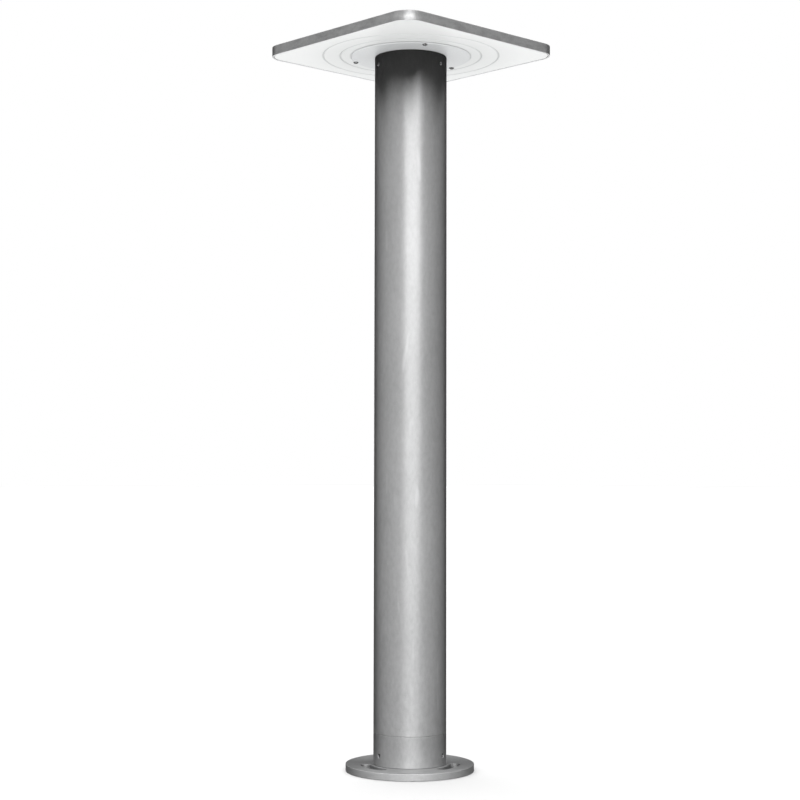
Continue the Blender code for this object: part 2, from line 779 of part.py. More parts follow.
def post_lead():
    points = [(0.0, FEED_DEPTH, DRIVER_TOP + GAP), (0.0, FEED_DEPTH, DRIVER_TOP + 0.02),
              (0.005, -0.001, 0.560), (-0.004, 0.003, 0.660), (0.004, -0.001, 0.760),
              (0.0, 0.0, 0.835), (0.0, 0.0, SOCKET_BOTTOM - GAP)]
    return lead("post_lead", points, FEED_RADIUS, black_rubber(), 0.014)


def connector_socket():
    top = PLUG_BOTTOM - GAP
    profile = [
        (0.0, top), (0.0085, top), (0.0085, top - 0.003), (0.0098, top - 0.0035), (0.0098, top - 0.013),
        (0.0075, top - 0.014), (0.0060, SOCKET_BOTTOM + 0.002),
        (0.0045, SOCKET_BOTTOM), (0.0, SOCKET_BOTTOM),
    ]
    return keep(turned("connector_socket", profile, 24, closed=False), grey_nylon())


# ---------------------------------------------------------------- head
def hub_screw_azimuths():
    return [HUB_SCREW_AZIMUTH + turn for turn in THIRDS]


def stud_places():
    return [(x, y) for x in (-STUD_PLACE, STUD_PLACE) for y in (-STUD_PLACE, STUD_PLACE)]


def head_cover():
    """The square pan: roof, rim, the ledge that the gasket seals on, and four studs under the roof."""
    cover = plate("head_cover", [rounded_square(HEAD_SIDE, HEAD_CORNER)], HEAD_UNDERSIDE, HEAD_HEIGHT)
    add_bevel(cover, 0.0006)
    mouth = rounded_square(HEAD_SIDE - 2 * RIM_WALL, HEAD_CORNER - RIM_WALL)
    cut(cover, plate("mouth_cutter", [mouth], HEAD_UNDERSIDE - 0.01, LEDGE_HEIGHT - HEAD_UNDERSIDE + 0.01))
    room = rounded_square(HEAD_SIDE - 0.017, HEAD_CORNER - 0.0085)
    cut(cover, plate("room_cutter", [room], HEAD_UNDERSIDE - 0.02, ROOF_UNDERSIDE - HEAD_UNDERSIDE + 0.02))
    places = [Matrix.Translation((x, y, 0.0)) for x, y in stud_places()]
    join(cover, holes("stud_shape", STUD_RADIUS, SPREADER_BOTTOM - 0.006, TOTAL_HEIGHT - 0.001, places))
    return keep(cover, brushed_aluminium())


def heat_spreader():
    loops = [rounded_square(SPREADER_SIDE, SPREADER_CORNER, 4), circle(SPREADER_BORE, 24)]
    loops += [circle(STUD_RADIUS + GAP, SMALL_TURN, place) for place in stud_places()]
    loops += hole_ring(M5_HOLE, SPIGOT_BOLT_PLACE, hub_screw_azimuths())
    loops += hole_ring(M3_HOLE, BOARD_SCREW_PLACE, board_screw_azimuths())
    spreader = plate("heat_spreader", loops, SPREADER_BOTTOM, SPREADER_TOP - SPREADER_BOTTOM)
    return keep(spreader, galvanised_steel())


def spreader_nuts():
    nut = hex_nut("nut", 0.007, STUD_RADIUS + GAP, STUD_NUT_HEIGHT)
    seat = SPREADER_BOTTOM - GAP - STUD_NUT_HEIGHT
    places = [Matrix.Translation((x, y, seat)) for x, y in stud_places()]
    return copies("spreader_nut", nut, places, stainless_steel())


def board_screw_azimuths():
    return [30 + turn for turn in THIRDS]


def led_board():
    """A ring of circuit board, with its lamps and its lead terminal soldered on below."""
    loops = [circle(BOARD_RADIUS, FULL_TURN), circle(BOARD_BORE, FULL_TURN)]
    loops += hole_ring(M3_HOLE, BOARD_SCREW_PLACE, board_screw_azimuths())
    board = plate("led_board", loops, BOARD_BOTTOM, BOARD_TOP - BOARD_BOTTOM)
    join(board, led_chips())
    sunk = BOARD_BOTTOM + SOLDERED
    join(board, box("board_terminal_shape", (-0.005, -TERMINAL_OUTER, sunk - TERMINAL_HEIGHT),
                    (0.005, -TERMINAL_INNER, sunk)))
    return keep(board, board_mask())


def led_chips():
    half = LED_SIZE / 2
    chip = box("chip", (-half, -half, -LED_DEPTH), (half, half, SOLDERED))
    places = []
    for number in range(LED_COUNT):
        azimuth = 360 * (number + 0.5) / LED_COUNT
        turn = Matrix.Rotation(math.radians(azimuth), 4, "Z")
        places.append(upright(LED_PLACE, azimuth, BOARD_BOTTOM) @ turn)
    return repeated("led_chip_shapes", chip, places)


def led_board_screws():
    places = [hanging(BOARD_SCREW_PLACE, azimuth, BOARD_BOTTOM - GAP) for azimuth in board_screw_azimuths()]
    return copies("led_board_screw", pan_screw("pan", 0.0015, 0.0038), places, stainless_steel())


def head_gasket():
    outer = rounded_square(HEAD_SIDE - 2 * RIM_WALL - 0.001, HEAD_CORNER - RIM_WALL - 0.0005)
    inner = rounded_square(HEAD_SIDE - 0.014, HEAD_CORNER - 0.007)
    bottom = DIFFUSER_TOP + GAP
    return keep(plate("head_gasket", [outer, inner], bottom, LEDGE_HEIGHT - GAP - bottom), black_rubber())


def diffuser():
    side = HEAD_SIDE - 2 * (RIM_WALL + GAP)
    loops = [rounded_square(side, HEAD_CORNER - RIM_WALL - GAP), circle(DIFFUSER_BORE, FULL_TURN)]
    loops += hole_ring(M4_HOLE, HUB_SCREW_RADIUS, hub_screw_azimuths())
    panel = plate("diffuser", loops, DIFFUSER_BOTTOM, DIFFUSER_TOP - DIFFUSER_BOTTOM)
    for number, radius in enumerate(RING_RADII):
        groove = [
            (radius - 0.0009, DIFFUSER_BOTTOM - 0.001), (radius - 0.0009, DIFFUSER_BOTTOM + 0.0001),
            (radius, DIFFUSER_BOTTOM + 0.0006), (radius + 0.0009, DIFFUSER_BOTTOM + 0.0001),
            (radius + 0.0009, DIFFUSER_BOTTOM - 0.001),
        ]
        cut(panel, turned("ring_cutter_%d" % number, groove))
    return keep(panel, opal_acrylic())


def hub_plate():
    chamfer = 0.0004
    profile = [
        (TUBE_BORE, HEAD_UNDERSIDE), (HUB_PLATE_RADIUS, HEAD_UNDERSIDE),
        (HUB_PLATE_RADIUS, HUB_PLATE_BOTTOM + chamfer), (HUB_PLATE_RADIUS - chamfer, HUB_PLATE_BOTTOM),
        (TUBE_BORE, HUB_PLATE_BOTTOM),
    ]
    hub = turned("hub_plate", profile)
    places = [upright(HUB_SCREW_RADIUS, azimuth, HUB_PLATE_BOTTOM) for azimuth in hub_screw_azimuths()]
    cut(hub, holes("hub_hole_cutter", M4_HOLE, -0.01, 0.01, places))
    return keep(hub, hub_aluminium())


def hub_screws():
    screw = pan_screw("pan", 0.002, 0.0105, 0.0036, 0.0024, 12)
    seat = HUB_PLATE_BOTTOM - GAP
    places = [hanging(HUB_SCREW_RADIUS, azimuth, seat) for azimuth in hub_screw_azimuths()]
    return copies("hub_screw", screw, places, stainless_steel())


def hub_standoffs():
    bottom = DIFFUSER_TOP + GAP
    spacer = hex_nut("spacer", 0.0065, M4_HOLE, BOARD_TOP - bottom)
    places = [upright(HUB_SCREW_RADIUS, azimuth, bottom) for azimuth in hub_screw_azimuths()]
    return copies("hub_standoff", spacer, places, brass())


def head_spigot():
    """The hub casting: a flange inside the head and a sleeve that turns in the tube's mouth."""
    groove = SPIGOT_RADIUS - 0.0012
    seal = SPIGOT_RADIUS - 0.0025
    top = TOP_GRUB_HEIGHT
    profile = [
        (SPIGOT_BORE, BOARD_TOP), (SPIGOT_FLANGE_RADIUS, BOARD_TOP),
        (SPIGOT_FLANGE_RADIUS, DIFFUSER_BOTTOM), (SPIGOT_RADIUS, DIFFUSER_BOTTOM),
        (SPIGOT_RADIUS, top + 0.0042), (groove, top + 0.0032),
        (groove, top - 0.0032), (SPIGOT_RADIUS, top - 0.0042),
        (SPIGOT_RADIUS, SEAL_HIGH), (seal, SEAL_HIGH),
        (seal, SEAL_LOW), (SPIGOT_RADIUS, SEAL_LOW), (SPIGOT_RADIUS, SPIGOT_BOTTOM + 0.0015),
        (SPIGOT_RADIUS - 0.0015, SPIGOT_BOTTOM), (GLAND_HOLE, SPIGOT_BOTTOM), (GLAND_HOLE, SPIGOT_FLOOR),
        (SPIGOT_BORE, SPIGOT_FLOOR),
    ]
    spigot = turned("head_spigot", profile, INNER_TURN)
    bore_profile = [(0.0, 0.02), (M5_HOLE, 0.02), (M5_HOLE, 0.0056), (0.0052, 0.0056), (0.0052, -0.004),
                    (0.0, -0.004)]
    bore = turned("bolt_bore", bore_profile, SMALL_TURN, closed=False)
    places = [upright(SPIGOT_BOLT_PLACE, azimuth, DIFFUSER_BOTTOM) for azimuth in hub_screw_azimuths()]
    cut(spigot, repeated("bolt_bore_cutter", bore, places))
    cut(spigot, box("lead_notch_cutter", (-NOTCH_WIDTH / 2, -0.075, BOARD_TOP - NOTCH_DEPTH),
                    (NOTCH_WIDTH / 2, -0.030, BOARD_TOP + 0.01)))
    return keep(spigot, coated_aluminium())


def spigot_bolts():
    screw = pan_screw("cap", 0.0025, 0.0058, 0.0044, 0.0048)
    seat = DIFFUSER_BOTTOM + 0.0053
    places = [hanging(SPIGOT_BOLT_PLACE, azimuth, seat) for azimuth in hub_screw_azimuths()]
    return copies("spigot_bolt", screw, places, stainless_steel())


def spigot_o_ring():
    centre = SPIGOT_RADIUS - 0.00115
    radius = 0.0011
    middle = (SEAL_LOW + SEAL_HIGH) / 2
    turns = [math.radians(90 - 60 * step) for step in range(6)]
    profile = [(centre + radius * math.cos(turn), middle + radius * math.sin(turn)) for turn in turns]
    return keep(turned("spigot_o_ring", profile, INNER_TURN), black_rubber())


def gland_body():
    """The lead's seal in the spigot's floor: a hexagon below it and a threaded neck through it."""
    top = SPIGOT_BOTTOM - GAP
    body = rod("gland_body", 0.0115, top - 0.007, top, 6)
    join(body, rod("gland_neck_shape", GLAND_HOLE - GAP, top - 0.003, 0.937, 18))
    skirt = [(0.0, top - 0.005), (0.0095, top - 0.005), (0.0075, top - 0.0125), (0.0, top - 0.0125)]
    join(body, turned("gland_skirt_shape", skirt, 18, closed=False))
    cut(body, rod("gland_bore_cutter", LEAD_RADIUS + GAP, top - 0.03, top + 0.03))
    return keep(body, grey_nylon())


def gland_nut():
    nut = hex_nut("gland_nut", 0.022, GLAND_HOLE, 0.005, 18)
    nut.location.z = SPIGOT_FLOOR + GAP
    return keep(nut, grey_nylon())


def head_lead():
    way = BOARD_BOTTOM - 0.0022
    points = [(0.0, GAP - TERMINAL_INNER, way), (0.0, -0.075, way), (0.0, -0.055, way),
              (0.0, -0.042, way - 0.0008), (0.0, -0.026, way - 0.006), (0.0, -0.011, 0.972),
              (0.0, -0.002, 0.957), (0.0, 0.0, 0.945),
              (0.0, 0.0, SPIGOT_BOTTOM), (0.0, 0.0, PLUG_TOP + GAP)]
    return lead("head_lead", points, LEAD_RADIUS, black_rubber(), 0.010)


def connector_plug():
    profile = [
        (0.0, PLUG_TOP), (0.0045, PLUG_TOP), (0.0060, PLUG_TOP - 0.002), (0.0090, PLUG_TOP - 0.005),
        (0.0090, PLUG_BOTTOM), (0.0, PLUG_BOTTOM),
    ]
    return keep(turned("connector_plug", profile, 24, closed=False), grey_nylon())


# ---------------------------------------------------------------- assembly
def build_base():
    base_flange()
    base_collar()
    collar_screws()
    base_spigot()
    base_grub_screws()


def build_post():
    post_tube()
    top_grub_screws()


def build_gear():
    gear_tray()
    tray_screws()
    led_driver()
    driver_screws()
    terminal_block()
    terminal_block_screw()
    cable_clamp()
    cable_clamp_screw()
    earth_bolt()
    earth_washer()
    earth_eyelet()
    earth_nut()
    earth_lead()
    terminal_lead()
    post_lead()
    connector_socket()


def build_head():
    """Every head piece hangs from an empty on the swivel axis."""
    pieces = [
        head_cover(), heat_spreader(), *spreader_nuts(), led_board(), *led_board_screws(), head_gasket(),
        diffuser(), hub_plate(), *hub_screws(), *hub_standoffs(), head_spigot(), *spigot_bolts(),
        spigot_o_ring(), gland_body(), gland_nut(), head_lead(), connector_plug(),
    ]
    axis = bpy.data.objects.new("head_swivel_axis", None)
    MODEL.objects.link(axis)
    for piece in pieces:
        piece.parent = axis


def main():
    global MODEL, CUTTERS
    clear_scene()
    MODEL = add_collection("bollard_light")
    CUTTERS = add_collection("cutters")
    build_base()
    build_post()
    build_gear()
    build_head()


main()
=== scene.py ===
"""Looks for the bollard light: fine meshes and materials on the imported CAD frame, lights and camera."""

import json
import math

import bmesh
import bpy
from mathutils import Euler, Matrix, Vector


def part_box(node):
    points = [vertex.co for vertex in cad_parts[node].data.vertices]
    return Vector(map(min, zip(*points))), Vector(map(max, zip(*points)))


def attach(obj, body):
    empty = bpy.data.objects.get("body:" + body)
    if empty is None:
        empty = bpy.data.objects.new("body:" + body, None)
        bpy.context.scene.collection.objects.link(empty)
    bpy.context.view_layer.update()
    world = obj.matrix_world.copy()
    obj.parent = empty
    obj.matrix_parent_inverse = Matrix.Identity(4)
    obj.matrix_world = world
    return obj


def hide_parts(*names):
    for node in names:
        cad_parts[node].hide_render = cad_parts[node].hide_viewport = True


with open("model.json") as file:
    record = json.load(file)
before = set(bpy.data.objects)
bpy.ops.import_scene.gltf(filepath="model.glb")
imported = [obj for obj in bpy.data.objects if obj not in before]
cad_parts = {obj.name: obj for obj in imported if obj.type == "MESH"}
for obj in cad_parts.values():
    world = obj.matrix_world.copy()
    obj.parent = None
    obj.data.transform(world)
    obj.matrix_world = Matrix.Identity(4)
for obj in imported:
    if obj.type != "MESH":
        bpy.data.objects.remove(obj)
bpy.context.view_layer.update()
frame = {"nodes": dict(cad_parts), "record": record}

MM = 0.001
GAP = 0.3 * MM
THIRDS = (0.0, 120.0, 240.0)

# ---------------------------------------------------------------- sizes read from the frame
FLANGE_LOW, FLANGE_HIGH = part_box("base_flange")
COLLAR_LOW, COLLAR_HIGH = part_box("base_collar")
TUBE_LOW, TUBE_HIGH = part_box("post_tube")
COVER_LOW, COVER_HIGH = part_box("head_cover")
PANEL_LOW, PANEL_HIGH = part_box("diffuser")
HUB_LOW, HUB_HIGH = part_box("hub_plate")

FLANGE_RADIUS = FLANGE_HIGH.x
POST_RADIUS = TUBE_HIGH.x
TUBE_WALL = 3 * MM
TUBE_BORE = POST_RADIUS - TUBE_WALL
HUB_RADIUS = HUB_HIGH.x
HEAD_SIDE = COVER_HIGH.x - COVER_LOW.x
HEAD_CORNER = 27.5 * MM
RIM_WALL = 2.5 * MM
PANEL_SIDE = PANEL_HIGH.x - PANEL_LOW.x
PANEL_BORE = 70 * MM
RING_RADII = (98 * MM, 122 * MM)
RING_GROOVE = ((-2.0, 0.0), (-1.4, 0.08), (-0.8, 0.50), (-0.3, 0.75),
               (0.3, 0.75), (0.8, 0.50), (1.4, 0.08), (2.0, 0.0))
CABLE_HOLE = 30 * MM
SLOT_RADIUS = 62 * MM
SLOT_WIDTH = 14 * MM
SLOT_HALF_SPAN = 25.0
SLOT_AZIMUTH = -10.3
TOP_GRUB_AZIMUTH = -17.7
HUB_SCREW_AZIMUTH = 60.0
HUB_SCREW_RADIUS = 80.5 * MM
HUB_SCREW_HOLE = 2.3 * MM
COLLAR_SCREW_RADIUS = 45 * MM
COLLAR_SCREW_HOLE = 2.8 * MM
COLLAR_SCREW_SINK = 5.2 * MM
COLLAR_BORE = 40 * MM


def middle(node):
    low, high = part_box(node)
    return (low + high) / 2


BASE_GRUB_HOLE = 3.3 * MM
TOP_GRUB_HOLE = 2.8 * MM
BASE_GRUB_HEIGHT = middle("base_grub_screw_1").z
TOP_GRUB_HEIGHT = middle("top_grub_screw_1").z


# ---------------------------------------------------------------- places and outlines
def polar(radius, azimuth):
    """A point on a circle round the post, its azimuth measured from -Y towards +X."""
    turn = math.radians(azimuth)
    return radius * math.sin(turn), -radius * math.cos(turn)


def upright(radius, azimuth, height):
    x, y = polar(radius, azimuth)
    return Matrix.Translation((x, y, height))


def hanging(radius, azimuth, height):
    return upright(radius, azimuth, height) @ Matrix.Rotation(math.pi, 4, "X")


def outward(radius, azimuth, height):
    turn = Vector(polar(1.0, azimuth)).to_3d().to_track_quat("Z", "Y")
    return upright(radius, azimuth, height) @ turn.to_matrix().to_4x4()


def circle(radius, steps):
    turns = [2 * math.pi * step / steps for step in range(steps)]
    return [(radius * math.cos(turn), radius * math.sin(turn)) for turn in turns]


def rounded_square(side, corner, arc_steps=20):
    points = []
    inset = side / 2 - corner
    for quarter in range(4):
        centre_turn = math.radians(45 + 90 * quarter)
        centre_x = math.copysign(inset, math.cos(centre_turn))
        centre_y = math.copysign(inset, math.sin(centre_turn))
        for step in range(arc_steps + 1):
            turn = math.radians(90 * quarter + 90 * step / arc_steps)
            points.append((centre_x + corner * math.cos(turn), centre_y + corner * math.sin(turn)))
    return points


def kidney(width, azimuth, arc_steps=28, end_steps=14):
    """A bolt slot's outline: a band that follows its circle, with round ends."""
    reach = SLOT_HALF_SPAN - math.degrees(SLOT_WIDTH / 2 / SLOT_RADIUS)
    points = []
    for side, end in ((1, 0), (-1, 180)):
        for step in range(arc_steps + 1):
            turn = azimuth - side * reach + side * 2 * reach * step / arc_steps
            points.append(polar(SLOT_RADIUS + side * width / 2, turn))
        hub_x, hub_y = polar(SLOT_RADIUS, azimuth + side * reach)
        for step in range(1, end_steps):
            out_x, out_y = polar(width / 2, azimuth + side * reach + end + 180 * step / end_steps)
            points.append((hub_x + out_x, hub_y + out_y))
    return points


def fillet(profile, radius, steps=4, keep=()):
    """Rounds the corners of a closed profile. Corners whose index is in keep stay sharp."""
    points = []
    count = len(profile)
    for index, corner in enumerate(profile):
        here = Vector(corner)
        before = Vector(profile[index - 1]) - here
        after = Vector(profile[(index + 1) % count]) - here
        if index in keep:
            points.append(tuple(here))
            continue
        half = before.angle(after) / 2
        reach = min(radius / math.tan(half), before.length * 0.45, after.length * 0.45)
        start = here + before.normalized() * reach
        end = here + after.normalized() * reach
        for step in range(steps + 1):
            t = step / steps
            points.append(tuple(start * (1 - t) ** 2 + here * 2 * t * (1 - t) + end * t ** 2))
    return points


# ---------------------------------------------------------------- meshes
def make_piece(name, shape, smooth_angle=35.0):
    bmesh.ops.recalc_face_normals(shape, faces=shape.faces)
    mesh = bpy.data.meshes.new(name)
    shape.to_mesh(mesh)
    shape.free()
    mesh.shade_smooth()
    mesh.set_sharp_from_angle(angle=math.radians(smooth_angle))
    piece = bpy.data.objects.new(name, mesh)
    bpy.context.scene.collection.objects.link(piece)
    return piece


def loft(name, loops, ring=True, smooth_angle=35.0):
    """A skin over outlines of equal length. ring joins the last to the first, else both are capped."""
    shape = bmesh.new()
    rows = [[shape.verts.new(point) for point in loop] for loop in loops]
    count = len(rows[0])
    pairs = list(zip(rows, rows[1:]))
    if ring:
        pairs.append((rows[-1], rows[0]))
    for low, high in pairs:
        for index in range(count):
            after = (index + 1) % count
            shape.faces.new((low[index], low[after], high[after], high[index]))
    if not ring:
        shape.faces.new(rows[0])
        shape.faces.new(rows[-1])
    return make_piece(name, shape, smooth_angle)


def turned(name, profile, steps=192, ring=True):
    """A closed profile of (radius, height) turned about Z, or an open one that is capped at its ends."""
    loops = [[(x, y, height) for x, y in circle(radius, steps)] for radius, height in profile]
    return loft(name, loops, ring)


def evaluated(piece):
    """Turns the piece's modifiers into its mesh."""
    bpy.context.view_layer.update()
    graph = bpy.context.evaluated_depsgraph_get()
    mesh = bpy.data.meshes.new_from_object(piece.evaluated_get(graph))
    piece.modifiers.clear()
    piece.data = mesh
    return piece


def cut(piece, cutters):
    """Cuts the tools out of the piece and removes them."""
    for cutter in cutters:
        boolean = piece.modifiers.new("cut", "BOOLEAN")
        boolean.operation = "DIFFERENCE"
        boolean.solver = "EXACT"
        boolean.object = cutter
    evaluated(piece)
    for cutter in cutters:
        bpy.data.objects.remove(cutter, do_unlink=True)
    piece.data.shade_smooth()
    piece.data.set_sharp_from_angle(angle=math.radians(35))
    return piece


def even_shading(piece):
    """Keeps flat faces flat-looking beside their small rounded edges."""
    weighted = piece.modifiers.new("shading", "WEIGHTED_NORMAL")
    weighted.keep_sharp = True
    return evaluated(piece)


def bar(radius, low, high, place, steps=48):
    cutter = turned("cutter", [(radius, low), (radius, high)], steps, ring=False)
    cutter.matrix_world = place
    return cutter


def countersunk_bar(radius, lip, face, depth, place, steps=48):
    """A hole cutter about local Z with a small bevel where it meets the face."""
    profile = [(radius, face - depth), (radius, face - lip), (radius + 2 * lip, face + lip),
               (radius + 2 * lip, face + 4 * lip)]
    cutter = turned("cutter", profile, steps, ring=False)
    cutter.matrix_world = place
    return cutter


# ---------------------------------------------------------------- materials
class Nodes:
    """A small helper for writing a procedural material."""

    def __init__(self, name, colour, roughness, metallic):
        self.material = bpy.data.materials.new(name)
        self.material.use_nodes = True
        self.tree = self.material.node_tree
        self.shader = self.tree.nodes["Principled BSDF"]
        self.shader.inputs["Base Color"].default_value = (*colour, 1.0)
        self.shader.inputs["Roughness"].default_value = roughness
        self.shader.inputs["Metallic"].default_value = metallic
        self.place = self.tree.nodes.new("ShaderNodeTexCoord").outputs["Object"]

    def link(self, output, target):
        self.tree.links.new(output, target)

    def scaled(self, scale):
        mapping = self.tree.nodes.new("ShaderNodeMapping")
        mapping.inputs["Scale"].default_value = scale
        self.link(self.place, mapping.inputs["Vector"])
        return mapping.outputs["Vector"]

    def noise(self, scale, detail=4.0, roughness=0.55, stretch=(1, 1, 1)):
        noise = self.tree.nodes.new("ShaderNodeTexNoise")
        noise.inputs["Scale"].default_value = scale
        noise.inputs["Detail"].default_value = detail
        noise.inputs["Roughness"].default_value = roughness
        self.link(self.scaled(stretch), noise.inputs["Vector"])
        return noise.outputs["Fac"]

    def spots(self, scale, stretch=(1, 1, 1)):
        voronoi = self.tree.nodes.new("ShaderNodeTexVoronoi")
        voronoi.inputs["Scale"].default_value = scale
        self.link(self.scaled(stretch), voronoi.inputs["Vector"])
        return voronoi.outputs["Distance"]

    def steepness(self):
        """0 on level faces, 1 on upright ones."""
        geometry = self.tree.nodes.new("ShaderNodeNewGeometry")
        parts = self.tree.nodes.new("ShaderNodeSeparateXYZ")
        self.link(geometry.outputs["Normal"], parts.inputs["Vector"])
        return self.ramp(self.math("ABSOLUTE", parts.outputs["Z"]), 0.3, 0.8, 1.0, 0.0)

    def facing_down(self):
        """1 on faces that look down."""
        geometry = self.tree.nodes.new("ShaderNodeNewGeometry")
        parts = self.tree.nodes.new("ShaderNodeSeparateXYZ")
        self.link(geometry.outputs["Normal"], parts.inputs["Vector"])
        return self.ramp(parts.outputs["Z"], -0.3, -0.7)

    def axis_distance(self):
        """Distance from the post's axis."""
        flat = self.scaled((1, 1, 0))
        length = self.tree.nodes.new("ShaderNodeVectorMath")
        length.operation = "LENGTH"
        self.link(flat, length.inputs[0])
        return length.outputs["Value"]

    def math(self, operation, first, second=None):
        node = self.tree.nodes.new("ShaderNodeMath")
        node.operation = operation
        for socket, value in zip(node.inputs, (first, second)):
            if value is None:
                continue
            if isinstance(value, (int, float)):
                socket.default_value = value
            else:
                self.link(value, socket)
        return node.outputs["Value"]

    def ramp(self, value, low, high, low_value=0.0, high_value=1.0):
        spread = self.tree.nodes.new("ShaderNodeMapRange")
        spread.inputs["From Min"].default_value = low
        spread.inputs["From Max"].default_value = high
        spread.inputs["To Min"].default_value = low_value
        spread.inputs["To Max"].default_value = high_value
        self.link(value, spread.inputs["Value"])
        return spread.outputs["Result"]

    def mix(self, factor, first, second):
        mix = self.tree.nodes.new("ShaderNodeMix")
        mix.data_type = "RGBA"
        self.link(factor, mix.inputs["Factor"])
        for socket, value in (("A", first), ("B", second)):
            target = [i for i in mix.inputs if i.name == socket and i.type == "RGBA"][0]
            if isinstance(value, tuple):
                target.default_value = (*value, 1.0)
            else:
                self.link(value, target)
        return [o for o in mix.outputs if o.type == "RGBA"][0]

    def stretch(self, amount, upright=False):
        """Stretches highlights round the post's axis, or along it."""
        self.shader.inputs["Anisotropic"].default_value = amount
        self.shader.inputs["Anisotropic Rotation"].default_value = 0.25 if upright else 0.0
        tangent = self.tree.nodes.new("ShaderNodeTangent")
        tangent.direction_type = "RADIAL"
        tangent.axis = "Z"
        self.link(tangent.outputs["Tangent"], self.shader.inputs["Tangent"])

    def colour(self, output):
        self.link(output, self.shader.inputs["Base Color"])

    def roughness(self, output):
        self.link(output, self.shader.inputs["Roughness"])

    def bump(self, height, strength, distance):
        bump = self.tree.nodes.new("ShaderNodeBump")
        bump.inputs["Strength"].default_value = strength
        bump.inputs["Distance"].default_value = distance
        self.link(height, bump.inputs["Height"])
        if self.shader.inputs["Normal"].is_linked:
            self.link(self.shader.inputs["Normal"].links[0].from_socket, bump.inputs["Normal"])
        self.link(bump.outputs["Normal"], self.shader.inputs["Normal"])


def grey(value):
    return (value, value * 1.005, value * 1.01)


def anodised(name, dark, light):
    """Blasted and anodised aluminium: soft mottling and a fine grain."""
    nodes = Nodes(name, grey(light), 0.46, 1.0)
    mottle = nodes.noise(230.0, 4.0, 0.6, (1, 1, 0.5))
    grain = nodes.noise(1500.0, 2.0, 0.6, (1, 1, 0.6))
    clouds = nodes.noise(16.0, 3.0, 0.5, (1, 1, 0.5))
    tone = nodes.math("ADD", nodes.math("MULTIPLY", mottle, 0.45), nodes.math("MULTIPLY", grain, 0.25))
    tone = nodes.math("ADD", tone, nodes.math("MULTIPLY", clouds, 0.30))
    finish = nodes.mix(nodes.ramp(tone, 0.38, 0.62), grey(dark), grey(light))
    rubs = nodes.ramp(nodes.noise(95.0, 1.0, 0.4, (1, 1, 0.16)), 0.70, 0.80, 0.0, 0.35)
    nodes.colour(nodes.mix(rubs, finish, grey(0.72)))
    nodes.roughness(nodes.ramp(mottle, 0.3, 0.7, 0.43, 0.49))
    nodes.bump(grain, 0.2, 0.00005)
    nodes.stretch(0.75, upright=True)
    return nodes.material


def blasted_casting():
    """Fine blasted aluminium: an even grain with pale specks. Its upright outer edge is painted lighter as a
    painted highlight, and its top and slot walls darker as painted shade.
    """
    nodes = Nodes("blasted_casting", grey(0.45), 0.50, 1.0)
    nodes.shader.inputs["Specular Tint"].default_value = (*grey(0.60), 1.0)
    grain = nodes.noise(900.0, 2.0, 0.6)
    clouds = nodes.noise(30.0, 4.0, 0.55)
    tone = nodes.math("ADD", nodes.math("MULTIPLY", grain, 0.5), nodes.math("MULTIPLY", clouds, 0.5))
    # painted shade and painted highlight: a darker copy of the finish for the top and slot walls, a lighter
    # copy for the upright outer edge
    flat = nodes.mix(nodes.ramp(tone, 0.35, 0.65), grey(0.27), grey(0.37))
    edge = nodes.mix(nodes.ramp(tone, 0.35, 0.65), grey(0.48), grey(0.61))
    # where the painted highlight goes: upright faces in a band at the outer edge
    rim = nodes.ramp(nodes.axis_distance(), FLANGE_RADIUS - 1.6 * MM, FLANGE_RADIUS - 0.6 * MM)
    nodes.colour(nodes.mix(nodes.math("MULTIPLY", nodes.ramp(nodes.steepness(), 0.0, 0.6), rim), flat, edge))
    nodes.roughness(nodes.math("ADD", nodes.ramp(grain, 0.3, 0.7, 0.44, 0.56),
                               nodes.ramp(nodes.steepness(), 0.0, 1.0, 0.06, 0.0)))
    nodes.bump(grain, 0.35, 0.00015)
    nodes.stretch(0.6, upright=True)
    return nodes.material


def rolled_cover():
    """The head's metal: satin, clouded in patches a few millimetres across. Its downward faces are painted
    near-white as painted light, and its level faces take a finer grain painted a little darker as painted
    shade.
    """
    nodes = Nodes("rolled_cover", grey(0.42), 0.44, 1.0)
    nodes.shader.inputs["Specular Tint"].default_value = (*grey(0.45), 1.0)
    mottle = nodes.noise(70.0, 3.0, 0.6, (0.5, 0.5, 1.3))
    fine = nodes.noise(420.0, 2.0, 0.6)
    tone = nodes.math("ADD", nodes.math("MULTIPLY", mottle, 0.75), nodes.math("MULTIPLY", fine, 0.25))
    face = nodes.mix(nodes.ramp(tone, 0.38, 0.62), grey(0.29), grey(0.44))
    # painted shade: level faces, the roof above all, take this finer and slightly darker grain to dim their
    # glare
    grain = nodes.mix(nodes.ramp(nodes.noise(240.0, 4.0, 0.6), 0.36, 0.64), grey(0.30), grey(0.37))
    metal = nodes.mix(nodes.steepness(), grain, face)
    # painted light: every face that looks down, the rim's underside among them, is painted near-white
    nodes.colour(nodes.mix(nodes.facing_down(), metal, grey(0.93)))
    nodes.roughness(nodes.math("ADD", nodes.ramp(mottle, 0.35, 0.65, 0.50, 0.38),
                               nodes.ramp(nodes.steepness(), 0.0, 1.0, 0.22, 0.0)))
    nodes.bump(fine, 0.3, 0.0001)
    nodes.stretch(0.6, upright=True)
    return nodes.material


